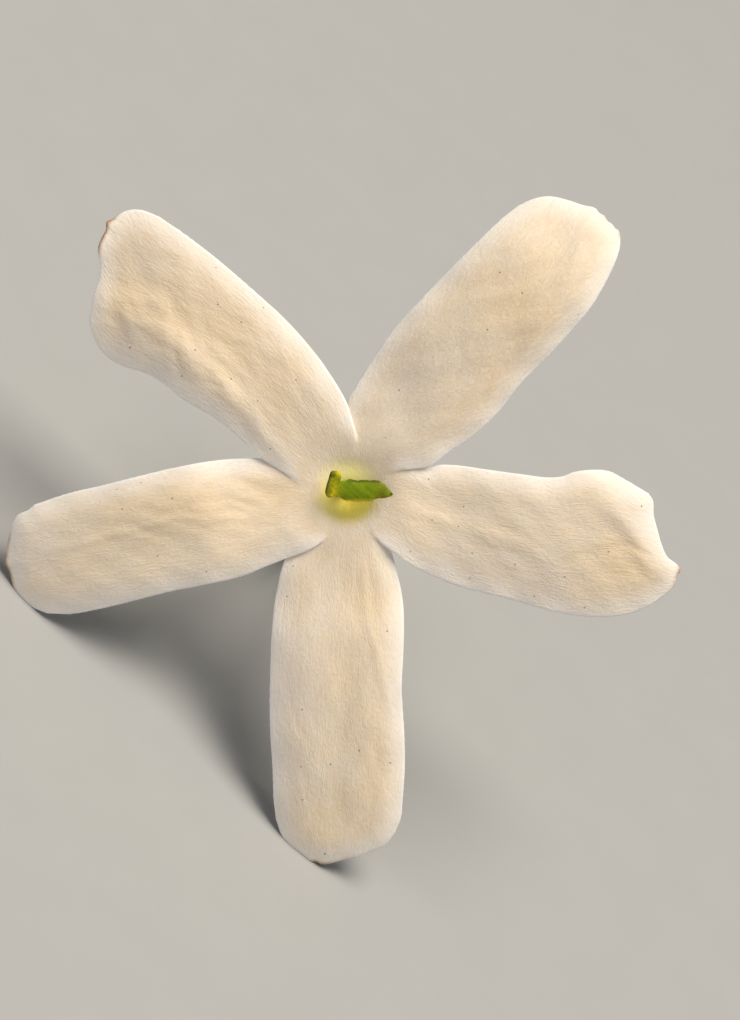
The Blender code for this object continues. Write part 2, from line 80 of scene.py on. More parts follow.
# Each petal in its own axis, which points in the direction "axis" of the front view: distance out,
# then distance to the left. Both sides start at the ring. "rise" is the height at 4, 8, 12, 16 and
# 20 mm out. "twist" is how much higher it ends 3.5 mm to the left of its axis. "fold" is a line across
# the tip by two points, and the slope at which the tip drops past it (or, below zero, rises). "over" is
# the height of each side where it lies over or under its neighbour. "ridges" are lines that stand up
# (or, below zero, sink in) with their width and height. "wrinkle" is how much longer than wide the fine
# wrinkles are, from least to most. "roll" is how much each side's margin rolls back. "warm" and "brown"
# are soft patches with their place, size and strength.
PETALS = {
    "upper_right": {
        "axis": 49.0,
        "right": ((0.9, -0.9), (1.5, -1.1), (2.0, -1.15), (2.44, -1.3), (3.29, -2.02), (3.94, -2.53),
                  (5.1, -2.78), (6.48, -3.17), (7.68, -3.38), (8.9, -3.43), (10.64, -3.34), (12.33, -3.45),
                  (14.43, -3.52), (16.29, -3.49), (17.88, -3.22)),
        "tip": ((17.88, -3.22), (19.22, -2.84), (20.1, -2.42), (20.64, -1.84), (20.57, -1.62),
                (20.66, -1.42), (20.61, -1.08), (20.73, -0.74), (20.65, -0.42), (20.72, -0.11),
                (20.38, 0.54), (20.04, 1.35), (19.56, 2.21), (18.93, 2.76), (17.99, 3.2)),
        "left": ((0.85, 1.1), (1.4, 1.75), (2.4, 2.6), (3.6, 3.22), (4.61, 3.42), (6.4, 3.72),
                 (8.45, 3.92), (10.72, 3.84), (12.95, 3.73), (15.31, 3.56), (16.94, 3.4), (17.99, 3.2)),
        "rise": (0.0, 0.35, 0.6, 0.6, -0.45), "twist": -0.15,
        "fold": ((19.5, -3.5), (14.5, 4.0), 0.2), "over": (0.2, -0.2),
        "ridges": ((((4.0, 0.2), (12.0, 0.5), (19.0, 0.0)), 1.3, -0.16),
                   (((12.0, -2.0), (16.0, -1.7), (19.5, -0.9)), 0.7, 0.14)),
        "wrinkle": (0.9, 3.5),
        "warm": ((14.0, -0.3, 4.0, 3.2, 0.6), (10.0, -2.6, 5.0, 1.0, 0.4), (6.0, 0.5, 4.0, 2.6, -0.4)),
        "brown": ((20.6, -2.0, 0.4, 0.5), (20.75, -0.9, 0.4, 0.4))},
    "upper_left": {
        "axis": 137.0,
        "right": ((0.7, -1.2), (1.05, -1.8), (1.47, -2.39), (2.05, -2.75), (3.35, -3.48), (5.99, -4.19),
                  (8.73, -4.5), (11.64, -4.47), (14.3, -4.35), (16.38, -4.13), (17.81, -3.92)),
        "tip": ((17.81, -3.92), (18.94, -3.45), (19.5, -2.77), (19.66, -2.05), (19.79, -1.71),
                (19.53, -1.43), (19.36, -0.86), (19.12, -0.34), (18.35, 0.32), (17.98, 0.8),
                (17.35, 2.0), (16.69, 3.01)),
        "left": ((1.0, 0.85), (1.55, 1.25), (2.12, 1.6), (3.3, 1.72), (4.58, 1.95), (5.96, 1.98),
                 (7.82, 2.08), (10.15, 2.55), (11.38, 2.63), (12.45, 2.88), (13.95, 3.55),
                 (14.96, 3.68), (16.05, 3.39), (16.69, 3.01)),
        "rise": (0.1, 0.7, 0.9, 0.5, -0.3), "twist": -0.35,
        "fold": ((19.9, -3.6), (16.4, 1.0), -0.3), "over": (0.2, 0.12), "roll": (0.8, 0.9),
        "ridges": ((((3.5, 1.1), (6.5, 0.75), (9.7, 0.45), (13.6, 0.7), (16.8, 1.5)), 0.5, 0.1),
                   (((8.0, 0.8), (12.0, 0.9), (17.0, 1.5)), 1.4, 0.16),
                   (((5.0, -1.0), (10.5, -1.1), (16.0, -0.8)), 0.8, -0.08)),
        "warm": ((11.0, -1.8, 6.0, 2.0, 0.7), (9.0, 1.9, 6.0, 0.9, -0.7), (15.0, 0.6, 2.5, 1.0, 0.6)),
        "brown": ((19.75, -1.9, 0.5, 0.9), (19.5, -1.1, 0.5, 0.8), (19.2, -0.4, 0.5, 0.7))},
    "left": {
        "axis": 191.0,
        "right": ((1.15, -1.15), (1.6, -1.6), (2.8, -2.2), (4.2, -2.59), (6.43, -2.96), (8.3, -3.03),
                  (10.67, -2.96), (13.05, -2.83), (15.07, -2.76), (16.4, -2.6), (17.12, -2.5)),
        "tip": ((17.12, -2.5), (17.52, -2.28), (18.15, -2.12), (18.5, -1.77), (18.91, -0.91),
                (19.24, -0.02), (19.36, 0.25), (19.21, 0.92), (19.16, 1.88), (18.93, 2.51),
                (18.42, 2.96), (17.58, 3.5)),
        "left": ((0.85, 1.25), (1.25, 1.85), (1.77, 2.46), (2.9, 2.88), (4.11, 3.06), (5.41, 3.31),
                 (6.63, 3.55), (8.41, 3.61), (10.77, 3.62), (13.15, 3.75), (14.93, 3.82),
                 (16.34, 3.77), (17.58, 3.5)),
        "rise": (0.1, 0.8, 0.6, -0.05, -0.9), "twist": 0.2,
        "fold": ((17.6, -3.0), (19.6, 0.4), 0.3), "over": (-0.12, 0.2),
        "ridges": ((((6.5, 0.3), (9.5, -0.35), (12.5, -0.1), (16.0, 0.15)), 0.2, 0.06),
                   (((5.0, -1.0), (9.0, -1.1), (13.0, -0.8)), 0.9, 0.12),
                   (((6.0, 1.2), (10.0, 1.4), (15.0, 1.6)), 1.0, -0.1)),
        "warm": ((8.0, -0.6, 6.0, 2.4, 0.7), (18.0, -0.4, 1.6, 1.3, -1.0), (5.0, -2.6, 2.5, 0.6, -0.8),
                 (13.5, 2.6, 3.5, 0.9, -0.4)),
        "brown": ((18.95, -0.9, 0.5, 0.7), (19.3, 0.15, 0.6, 1.0), (19.2, 1.0, 0.5, 0.8),
                  (19.15, 1.8, 0.5, 0.6))},
    "down": {
        "axis": 268.5,
        "right": ((1.11, -1.18), (1.6, -1.7), (2.7, -2.5), (3.94, -3.39), (5.24, -3.71), (6.67, -3.92),
                  (8.23, -4.0), (10.01, -4.01), (11.8, -4.0), (13.58, -3.91), (15.38, -3.75),
                  (17.15, -3.64), (18.23, -3.49)),
        "tip": ((18.23, -3.49), (19.35, -3.05), (19.99, -2.44), (20.4, -1.94), (20.69, -1.52),
                (20.56, -1.29), (20.67, -0.99), (20.69, -0.63), (20.53, -0.16), (20.37, 0.44),
                (20.14, 1.26), (19.82, 1.97), (19.57, 2.5), (18.9, 3.03)),
        "left": ((1.11, 1.18), (1.6, 1.7), (2.4, 2.1), (3.4, 2.5), (4.71, 2.89), (5.89, 3.16),
                 (7.44, 3.28), (9.34, 3.27), (10.78, 3.23), (11.85, 3.31), (13.39, 3.45),
                 (15.19, 3.52), (16.97, 3.45), (18.05, 3.36), (18.9, 3.03)),
        "rise": (0.1, 0.5, 0.45, 0.05, -0.7), "twist": -0.15,
        "fold": ((18.6, 3.6), (20.9, 0.8), 0.4), "over": (-0.2, -0.1),
        "ridges": ((((4.0, 0.9), (7.0, 1.3), (10.0, 2.1), (12.5, 2.7)), 0.25, 0.06),
                   (((5.0, -1.8), (11.0, -2.0), (17.0, -1.9)), 0.7, 0.06),
                   (((8.0, 0.2), (13.0, 0.0), (18.0, -0.3)), 0.6, -0.07),
                   (((10.0, 1.2), (14.0, 1.4), (17.5, 0.8)), 0.5, 0.07)),
        "warm": ((6.0, 1.0, 4.0, 1.8, 0.6), (14.0, 2.2, 3.5, 1.0, 0.4), (12.0, -2.2, 6.0, 1.4, -0.5),
                 (18.5, -1.2, 1.5, 1.5, 0.3)),
        "brown": ((20.66, -1.5, 0.3, 0.9), (20.55, -1.25, 0.3, 0.7), (20.65, -0.7, 0.4, 0.9),
                  (20.4, 0.4, 0.4, 0.4))},
    "right": {
        "axis": -12.0,
        "right": ((0.95, -1.1), (1.3, -1.45), (1.5, -1.8), (1.66, -2.1), (2.13, -2.38), (2.9, -2.74),
                  (4.19, -3.33), (5.56, -3.67), (7.23, -3.94), (9.76, -4.03), (11.66, -4.16),
                  (12.93, -4.2), (14.14, -4.11), (15.37, -3.87), (16.54, -3.47)),
        "tip": ((16.54, -3.47), (17.43, -2.9), (18.15, -2.18), (18.68, -1.44), (18.73, -0.8),
                (18.87, -0.54), (18.61, -0.26), (17.98, 0.04), (17.56, 0.58), (17.14, 1.37),
                (16.75, 2.16), (16.57, 2.88), (16.23, 3.25)),
        "left": ((1.05, 1.22), (1.6, 1.85), (2.6, 2.35), (4.1, 2.21), (4.62, 2.41), (5.58, 2.58),
                 (7.32, 2.7), (9.29, 2.84), (10.53, 2.95), (11.36, 3.18), (11.91, 3.54),
                 (12.96, 3.9), (13.83, 3.99), (14.62, 3.78), (15.43, 3.52), (16.23, 3.25)),
        "rise": (0.0, 0.45, 0.55, 0.1, -0.7), "twist": 0.25,
        "fold": ((13.4, 3.4), (17.85, -0.15), 0.35), "over": (0.12, -0.2), "roll": (0.3, 0.9),
        "ridges": ((((3.0, -0.2), (5.5, -0.5), (8.2, -0.8), (11.0, -1.1)), 0.45, 0.06),
                   (((12.6, 2.6), (14.6, 1.8), (16.0, 0.6), (17.0, -0.6)), 0.6, 0.08)),
        "warm": ((15.2, -0.8, 2.4, 1.8, 0.9), (6.0, -0.6, 3.0, 0.7, 0.4), (9.0, -2.6, 5.0, 1.2, -0.6),
                 (16.3, 2.2, 1.2, 1.4, -1.5)),
        "brown": ((18.85, -0.55, 0.3, 0.9), (18.7, -1.2, 0.5, 0.5))},
}


def smooth(x, low, high):
    """Eases from 0 at low to 1 at high: three times the square of the share less twice its cube."""
    t = np.clip((x - low) / (high - low), 0.0, 1.0)
    return t * t * (3.0 - 2.0 * t)


def curve_through(points, shares):
    """Points at the given shares of the length of a curve through the listed ones. Between two of
    them it is a cubic whose end slopes are the weighted mean of the straight slopes on both sides."""
    p = np.array(points, float)
    step = np.maximum(np.linalg.norm(np.diff(p, axis=0), axis=1), 1e-6)[:, None] ** 0.5
    slope = np.diff(p, axis=0) / step
    inner = (slope[:-1] * step[1:] + slope[1:] * step[:-1]) / (step[:-1] + step[1:])
    slope = np.vstack((slope[:1], inner, slope[-1:]))
    t = np.linspace(0.0, 1.0, 24, endpoint=False)[:, None]
    p0, p1, m0, m1, h = (a[:, None] for a in (p[:-1], p[1:], slope[:-1], slope[1:], step))
    dense = ((2 * t ** 3 - 3 * t ** 2 + 1) * p0 + (t ** 3 - 2 * t ** 2 + t) * h * m0
             + (3 * t ** 2 - 2 * t ** 3) * p1 + (t ** 3 - t ** 2) * h * m1)
    dense = np.vstack((dense.reshape(-1, p.shape[1]), p[-1:]))
    run = np.concatenate(((0.0,), np.cumsum(np.linalg.norm(np.diff(dense, axis=0), axis=1))))
    return np.stack([np.interp(shares * run[-1], run, d) for d in dense.T], axis=-1)


def to_world(points):
    """Millimetres on the flower's own axis to metres where it lies. Below a height of -3 a point
    moves sideways by 0.0026 of its depth squared, as the tube bends, then all turn and shift as one.
    Nothing reaches below the surface."""
    p = np.array(points, float)
    down = np.maximum(0.0, BEND_START - p[:, 2])
    p[:, 0] += BEND * down * down * math.cos(BEND_SIDE)
    p[:, 1] += BEND * down * down * math.sin(BEND_SIDE)
    p = p @ FACE_TURN.T + MOUTH
    p[:, 2] = np.maximum(p[:, 2], 0.005)
    return p * MM


def faces_between(numbers, turned=False):
    """Four-sided faces between the neighbouring rows and columns of a grid of vertex numbers."""
    quads = np.stack((numbers[:-1, :-1], numbers[:-1, 1:], numbers[1:, 1:], numbers[1:, :-1]), -1)
    quads = quads.reshape(-1, 4)
    return quads[:, ::-1] if turned else quads


def new_mesh(name, points, faces, values=None, uv=None):
    """A smooth-shaded mesh of points in millimetres on the flower's axis, with an attribute for each
    list of values and a map in millimetres."""
    mesh = bpy.data.meshes.new(name)
    mesh.from_pydata(to_world(points).tolist(), [], [list(f) for f in faces])
    for key, value in (values or {}).items():
        mesh.attributes.new(key, "FLOAT", "POINT").data.foreach_set("value", value.astype(np.float32))
    if uv is not None:
        corners = np.empty(len(mesh.loops), np.int32)
        mesh.loops.foreach_get("vertex_index", corners)
        mesh.uv_layers.new(name="tissue_mm").data.foreach_set("uv", uv[corners].astype(np.float32).ravel())
    mesh.shade_smooth()
    return mesh


def new_piece(name, mesh, material, node):
    """Makes the mesh an object of its one material, rides it on the flower and replaces its node."""
    mesh.materials.clear()
    mesh.materials.append(material)
    piece = bpy.data.objects.new(name, mesh)
    bpy.context.scene.collection.objects.link(piece)
    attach(piece, "root")
    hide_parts(node)
    return piece


def grown_together(meshes):
    """One closed mesh of several that pass through each other, by a Boolean union."""
    others = bpy.data.collections.new("grown_together")
    bpy.context.scene.collection.children.link(others)
    objects = [bpy.data.objects.new(mesh.name, mesh) for mesh in meshes]
    bpy.context.scene.collection.objects.link(objects[0])
    for one in objects[1:]:
        others.objects.link(one)
    union = objects[0].modifiers.new("union", "BOOLEAN")
    union.operation = "UNION"
    union.solver = "MANIFOLD"
    union.operand_type = "COLLECTION"
    union.collection = others
    whole = bpy.data.meshes.new_from_object(objects[0].evaluated_get(bpy.context.evaluated_depsgraph_get()))
    for one in objects:
        bpy.data.objects.remove(one)
    bpy.data.collections.remove(others)
    whole.shade_smooth()
    return whole


def evened(mesh, rounds=24):
    """Evens out the seams where the petals grow together: each vertex moves half way to the mean of
    its neighbours in each round, less and less outwards as SEAM_LEFT says, and not at all below
    a height of -1."""
    count = len(mesh.vertices)
    points = np.empty(3 * count)
    mesh.vertices.foreach_get("co", points)
    points = points.reshape(-1, 3)
    own = (points / MM - MOUTH) @ FACE_TURN
    pull = 0.5 * (1.0 - smooth(np.hypot(own[:, 0], own[:, 1]), *SEAM_LEFT)) * smooth(own[:, 2], -1.0, -0.6)
    ends = np.empty(2 * len(mesh.edges), np.int32)
    mesh.edges.foreach_get("vertices", ends)
    a, b = ends.reshape(-1, 2).T
    degree = np.bincount(ends, minlength=count)
    for _ in range(rounds):
        total = np.stack([np.bincount(a, points[b, k], count) + np.bincount(b, points[a, k], count)
                          for k in range(3)], -1)
        points += pull[:, None] * (total / degree[:, None] - points)
    mesh.vertices.foreach_set("co", points.ravel())
    mesh.update()
    return mesh


def linear(hex_colour):
    """An sRGB hex colour as the linear colour that a shader takes."""
    srgb = np.array([int(hex_colour[i:i + 2], 16) for i in (1, 3, 5)]) / 255.0
    value = np.where(srgb <= 0.04045, srgb / 12.92, ((srgb + 0.055) / 1.055) ** 2.4)
    return (*value.tolist(), 1.0)


def add_node(tree, kind, inputs=(), **settings):
    """Adds a node, sets its own settings, and gives each listed input its value or its link."""
    node = tree.nodes.new(kind)
    for key, value in settings.items():
        setattr(node, key, value)
    for key, value in dict(inputs).items():
        if isinstance(value, bpy.types.NodeSocket):
            tree.links.new(value, node.inputs[key])
        else:
            node.inputs[key].default_value = value
    return node


def new_material(name):
    """A material with its node tree and its shader, ready for colours."""
    material = bpy.data.materials.new(name)
    material.use_nodes = True
    return material, material.node_tree, material.node_tree.nodes["Principled BSDF"]


# Height of the joined petals over their distance from the axis: the funnel outside, and inside the
# mouth's radius the curve that turns down into the tube
def funnel(r):
    """Height of the funnel: its depth, falling off exponentially with the distance out."""
    return -FUNNEL_DEPTH * np.exp(-(r - FUNNEL_REACH) / FUNNEL_REACH)


mouth_curve = curve_through(TUBE_PROFILE[:8], np.linspace(0.0, 1.0, 90))[::-1]


def crinkle(across, out, seed, finest=0.55, stretch=(1.2, 6.0), count=48):
    """Fine wrinkles with a spread of 1: a sum of seeded sines from the finest width to four times it,
    each longer along the petal than wide by a drawn stretch. Two slow sines bend their lines."""
    draw = np.random.default_rng(seed)
    wide = finest * 4.0 ** draw.random(count)
    long = wide * draw.uniform(*stretch, count) * draw.choice((-1.0, 1.0), count)
    phase = draw.uniform(0.0, 2 * np.pi, count)
    bent = across + 0.22 * np.sin(0.9 * out + seed) + 0.1 * np.sin(2.3 * out + 1.7 * across)
    waves = wide ** 0.8 * np.sin(2 * np.pi * (bent[..., None] / wide + out[..., None] / long) + phase)
    return waves.sum(-1) / math.sqrt(0.5 * (wide ** 1.6).sum())


def petal_height(petal, number, out, side, r, across, margin, warm):
    """Height of a petal's middle over the front view: the mouth's curve, plus the petal's own rise,
    twist and arch once it is free, less the drop past the fold at its tip, plus what its sides
    rise over or sink under the neighbours, its ridges, long waves, wrinkles and the roll of its
    margin. The wrinkles, which are stronger on ridges and warm patches, are given back too."""
    free = smooth(out, *FREE)
    rise = petal["rise"]
    rise = np.array((rise[0], *rise, 2 * rise[-1] - rise[-2]))
    k = np.clip(np.floor((out - 4.0) / 4.0), 0, 3).astype(int)
    t = (out - 4.0) / 4.0 - k
    a, b, c, d = (rise[k + i] for i in range(4))
    lift = 0.5 * (2 * b + (c - a) * t + (2 * a - 5 * b + 4 * c - d) * t ** 2
                  + (3 * b - 3 * c + d - a) * t ** 3)
    twist = petal["twist"] * smooth(out, 6.0, 18.0) * side / 3.5
    (ax, ay), (bx, by), slope = petal["fold"]
    beyond = ((out - ax) * (by - ay) - (side - ay) * (bx - ax)) / math.hypot(bx - ax, by - ay)
    if ay * (bx - ax) > ax * (by - ay):
        beyond = -beyond
    drop = slope * 0.5 * (beyond + np.hypot(beyond, FOLD_EASE)) * smooth(out, *FOLD_BEGINS)
    base = np.where(r < MOUTH_RADIUS, np.interp(r, mouth_curve[:, 0], mouth_curve[:, 1]), funnel(r))
    z = base + free * (lift + twist - ARCH * side ** 2) - drop
    right, left = petal["over"]
    lies_over = (right + (left - right) * smooth(across, 0.25, 0.75)) * smooth(r, *OVERLAP_BEGINS)
    z += lies_over * (1 - smooth(r, *OVERLAP_ENDS))
    rough = 0.45 + 0.55 * np.clip(warm, 0, 1)
    for points, width, height in petal["ridges"]:
        line = np.array(points)
        middle = np.interp(out, line[:, 0], line[:, 1])
        begin, end = line[0, 0], line[-1, 0]
        ends = smooth(out, begin - 1.5, begin + 1.5) * (1 - smooth(out, end - 1.5, end + 1.5))
        z += height * ends * np.exp(-((side - middle) / width) ** 2)
        rough += 6.0 * max(height, 0.0) * ends * np.exp(-((side - middle) / (width + 0.4)) ** 2)
    phase = petal["axis"]
    wave = (0.03 * np.sin(0.7 * out + 0.9 * side + phase) + 0.017 * np.sin(1.5 * out - 1.3 * side + 2 * phase)
            + 0.01 * np.sin(2.6 * out + 2.9 * side + 3 * phase))
    wrinkles = crinkle((across - 0.5) * PETAL_WIDTH, out, number, stretch=petal.get("wrinkle", (1.2, 6.0)))
    wrinkles *= rough * smooth(margin, 0.1, 1.2)
    wave += CRINKLE * wrinkles
    right, left = petal.get("roll", (1.0, 1.0))
    roll = MARGIN_ROLL[1] * (right + (left - right) * smooth(across, 0.25, 0.75))
    wave -= roll * np.clip(1 - margin / MARGIN_ROLL[0], 0, 1) ** 2
    wave += 0.04 * np.sin(2.1 * out + phase) * np.exp(-margin / 0.7)
    return z + wave * smooth(r, 2.4, 5.0), wrinkles * smooth(r, 2.0, 4.0)


def throat_values(x, y, r):
    """How much of the throat's yellow shows, most of it below the stigma, and how strong the painted glow is:
    an emission that stands in for daylight coming through the thin wall, most of it just above the stigma and
    some below it on the left, where it lightens the stigma's shadow."""
    below = np.hypot(0.85 * x, y + 0.5)
    yellow = np.maximum(0.45 * (1.0 - smooth(r, 0.7, 2.3)), 1.0 - smooth(below, 0.8, 1.8))
    glow = 0.2 * (1.0 - smooth(r, 0.9, 2.6)) + np.exp(-(x / 1.2) ** 2 - ((y - 0.85) / 0.6) ** 2)
    glow += 0.45 * np.exp(-((x + 1.4) / 0.75) ** 2 - ((y + 0.9) / 0.6) ** 2)
    return yellow, glow


def petal_sheet(petal, number, rows=138, columns=64):
    """One petal as a closed sheet. Its flat shape is a Coons patch: the blend of its two sides, its
    tip and its arc on the ring, less the blend of the corners. The upper and lower skins stand off
    the middle along its normal by half the thickness, which falls to nothing at the margin as a
    quarter circle, so that both skins share the margin's vertices."""
    step = np.linspace(0.0, 1.0, rows + 1)
    s = 0.5 * step + 0.5 * np.sin(step * np.pi / 2)
    step = np.linspace(0.0, 1.0, columns + 1)
    t = 0.4 * step + 0.3 * (1.0 - np.cos(np.pi * step))
    first, last = (math.atan2(petal[key][0][1], petal[key][0][0]) for key in ("right", "left"))
    lines = {"tip": petal["tip"]}
    for key, turn in (("right", first), ("left", last)):
        lines[key] = ((RING * math.cos(turn), RING * math.sin(turn)), *petal[key])
    right, left, tip = (curve_through(lines[key], at) for key, at in (("right", s), ("left", s), ("tip", t)))
    arc = RING * np.stack((np.cos(first + (last - first) * t), np.sin(first + (last - first) * t)), -1)
    s, t = s[:, None, None], t[None, :, None]
    flat = ((1 - t) * right[:, None] + t * left[:, None] + (1 - s) * arc[None] + s * tip[None]
            - (1 - s) * ((1 - t) * right[0] + t * left[0]) - s * ((1 - t) * right[-1] + t * left[-1]))
    out, side = flat[..., 0], flat[..., 1]
    r = np.hypot(out, side)
    outline = np.vstack([curve_through(line, np.linspace(0.0, 1.0, 240)) for line in lines.values()])
    margin = np.sqrt(((flat.reshape(-1, 1, 2) - outline) ** 2).sum(-1).min(1)).reshape(r.shape)
    # Warm patches, and below zero cool ones: partly the tissue's own tan, partly painted warm light on sides
    # that face the lamp and painted cool shade on sides that face away, in folds and under overlaps
    warm = sum(k * np.exp(-((out - u) / ru) ** 2 - ((side - v) / rv) ** 2)
               for u, v, ru, rv, k in petal["warm"])
    z, wrinkles = petal_height(petal, number, out, side, r, t[..., 0] + 0 * out, margin, warm)
    turn = math.radians(petal["axis"])
    middle = np.stack((out * math.cos(turn) - side * math.sin(turn),
                       out * math.sin(turn) + side * math.cos(turn), z), -1)
    normal = np.cross(np.gradient(middle, axis=0), np.gradient(middle, axis=1))
    normal /= np.maximum(np.linalg.norm(normal, axis=-1, keepdims=True), 1e-9)
    grown_in = 1.0 - smooth(r, *OWN_MARGIN)
    share = np.clip(margin / (MARGIN_ROUND + 0.3 * grown_in), 0.0, 1.0)
    half = 0.5 * PETAL_THICKNESS * np.sqrt(1.0 - (1.0 - share) ** 2) * smooth(r, RING, 1.5)
    inner = np.ones(r.shape, bool)
    inner[0], inner[-1], inner[:, 0], inner[:, -1] = False, False, False, False
    upper = middle + np.where(inner, half, 0.0)[..., None] * normal
    lower = (middle - half[..., None] * normal)[inner]
    numbers = np.arange(r.size).reshape(r.shape)
    below = numbers.copy()
    below[inner] = r.size + np.arange(inner.sum())
    faces = np.vstack((faces_between(numbers, True), faces_between(below)))
    brown = sum(k * np.exp(-((out - u) ** 2 + (side - v) ** 2) / size ** 2)
                for u, v, size, k in petal["brown"])
    brown = np.clip(brown, 0.0, 1.0) * (1.0 - smooth(margin, 0.06, 0.3))
    # Painted glow in the throat, on the upper skin only: emission standing in for light through the wall
    throat, glow = throat_values(middle[..., 0], middle[..., 1], r)
    # The wrinkles' height is also kept as a colour value: painted shade in their troughs, lighter on their
    # crests
    values = {"rim": np.clip(1.0 - (margin + 1.3 * grown_in) / RIM, 0.0, 1.0), "throat": throat, "glow": glow,
              "warm": warm, "brown": brown, "wrinkle_shading": 0.2 * wrinkles}
    below_too = {"throat": 0.4, "glow": 0.0}
    values = {key: np.concatenate((v.ravel(), v[inner] * below_too.get(key, 1.0)))
              for key, v in values.items()}
    uv = np.stack(((t[..., 0] - 0.5) * PETAL_WIDTH + 0 * out + 30.0 * number, out), -1)
    return np.vstack((upper.reshape(-1, 3), lower)), faces, values, np.vstack((uv.reshape(-1, 2), uv[inner]))


def tube_wall(columns=96):
    """The tube, a closed wall turned round the axis: the profile's middle line, offset along its normal
    outwards by 0.16 mm and inwards by 0.12 mm. In the mouth the inner skin rises to 0.17 mm, so that
    the petals run into one smooth funnel there, and further out both skins sink into the petals."""
    shares = np.linspace(0.0, 1.0, 70)
    profile = curve_through(TUBE_PROFILE, shares)
    slope = np.gradient(profile, axis=0)
    normal = np.stack((-slope[:, 1], slope[:, 0]), -1) / np.linalg.norm(slope, axis=1)[:, None]
    r = profile[:, :1]
    foot = 1.0 - 0.85 * smooth(shares, 0.985, 1.0)[:, None]
    outer = foot * (0.16 - 0.13 * smooth(r, 2.0, 2.9))
    inner = foot * (0.12 + 0.05 * smooth(r, 1.0, 1.6) - 0.19 * smooth(r, 2.35, 3.0))
    loop = np.vstack((profile + outer * normal, (profile - inner * normal)[::-1]))
    turn = np.arange(columns) * 2 * np.pi / columns
    points = np.stack((loop[:, :1] * np.cos(turn), loop[:, :1] * np.sin(turn), loop[:, 1:] + 0 * turn), -1)
    numbers = np.arange(points[..., 0].size).reshape(points.shape[:2])
    numbers = np.vstack((numbers, numbers[:1]))
    numbers = np.hstack((numbers, numbers[:, :1]))
    inside = np.repeat(np.arange(len(loop)) >= len(profile), columns).astype(float)
    foot = smooth(-points[..., 2].ravel(), 14.0, 19.0)
    x, y, z = points.reshape(-1, 3).T
    throat, glow = throat_values(x, y, np.hypot(x, y))
    throat = np.where(inside > 0, np.maximum(throat, smooth(-z, 1.2, 2.2)), 0.5 * foot)
    values = {key: 0 * inside for key in ("rim", "warm", "brown", "wrinkle_shading")}
    # Painted glow on the tube's inner skin near the mouth, fading out 3 mm down
    values.update(throat=throat, glow=inside * glow * smooth(z, -3.0, -1.0))
    uv = points[..., :2].reshape(-1, 2) + np.stack((200.0 + 0 * inside, 0.3 * points[..., 2].ravel()), -1)
    return points.reshape(-1, 3), faces_between(numbers, True), values, uv


# Fresh petal tissue: thin, moist cells full of air, so it is white, soft to the light that passes
# through it, and only faintly glossy. Its wavy fibres run from the mouth to the tip, 0.3 mm apart.
petal_tissue, tree, shader = new_material("fresh_petal_tissue")
along = add_node(tree, "ShaderNodeUVMap", uv_map="tissue_mm").outputs[0]
place = add_node(tree, "ShaderNodeTexCoord").outputs["Object"]
stretched = add_node(tree, "ShaderNodeMapping", {"Vector": along, "Scale": (5.2, 1.5, 1.0)}).outputs[0]
fibres = add_node(tree, "ShaderNodeTexNoise", {"Vector": stretched, "Scale": 1.0, "Detail": 4.0,
                                               "Roughness": 0.6, "Distortion": 1.3}).outputs[0]
clouds, grain = (add_node(tree, "ShaderNodeTexNoise", {"Vector": place, "Scale": 1 / (size * MM)}).outputs[0]
                 for size in (3.0, 0.22))
rim, warm, throat, glow, brown, wrinkle_shading = (
    add_node(tree, "ShaderNodeAttribute", attribute_name=name).outputs["Fac"]
    for name in ("rim", "warm", "throat", "glow", "brown", "wrinkle_shading"))
# Warmth: partly the tissue's own tan, partly painted warm light and painted cool shade from the petals' warm
# patches
warmth = add_node(tree, "ShaderNodeMath", {0: warm, 1: 0.5, 2: clouds}, operation="MULTIPLY_ADD").outputs[0]
warmth = add_node(tree, "ShaderNodeMapRange", {"Value": warmth, "From Min": 0.2, "From Max": 0.95}).outputs[0]
# Darker strands: the fibres' own tone, plus painted shade where the wrinkles sink and a lighter tone on their
# crests
fibres_and_wrinkle_shading = add_node(tree, "ShaderNodeMath", {0: wrinkle_shading, 1: 0.6, 2: fibres}, operation="MULTIPLY_ADD").outputs[0]
fibres_and_wrinkle_shading = add_node(tree, "ShaderNodeMapRange", {"Value": fibres_and_wrinkle_shading, "From Min": 0.25, "From Max": 0.75,
                                               "To Min": 0.15, "To Max": 0.0}).outputs[0]
# Pale band and thin white edge along the margin: partly the thinner tissue's own paleness, partly a painted
# highlight on the edge
pale = add_node(tree, "ShaderNodeMapRange", {"Value": rim, "From Min": 0.0, "From Max": 1.0, "To Min": 0.0,
                                             "To Max": 0.55}, interpolation_type="SMOOTHSTEP").outputs[0]
pale = add_node(tree, "ShaderNodeMapRange", {"Value": rim, "From Min": 0.84, "From Max": 0.98, "To Min": pale,
                                             "To Max": 0.95}, interpolation_type="SMOOTHSTEP").outputs[0]
# A few dark specks of 0.08 mm lie on each petal, past 3.5 mm from the mouth: one in seven of the cells
# of a 1.4 mm pattern has one
cells = add_node(tree, "ShaderNodeTexVoronoi", {"Vector": along, "Scale": 0.7}, voronoi_dimensions="2D")
drawn = add_node(tree, "ShaderNodeSeparateColor", {"Color": cells.outputs["Color"]}).outputs["Red"]
drawn = add_node(tree, "ShaderNodeMath", {0: drawn, 1: 0.86}, operation="GREATER_THAN").outputs[0]
outward = add_node(tree, "ShaderNodeSeparateXYZ", {"Vector": along}).outputs["Y"]
outward = add_node(tree, "ShaderNodeMath", {0: outward, 1: 3.5}, operation="GREATER_THAN").outputs[0]
speck = add_node(tree, "ShaderNodeMapRange", {"Value": cells.outputs["Distance"], "From Min": 0.02,
                                              "From Max": 0.04, "To Min": 0.75, "To Max": 0.0}).outputs[0]
speck = add_node(tree, "ShaderNodeMath", {0: speck, 1: drawn}, operation="MULTIPLY").outputs[0]
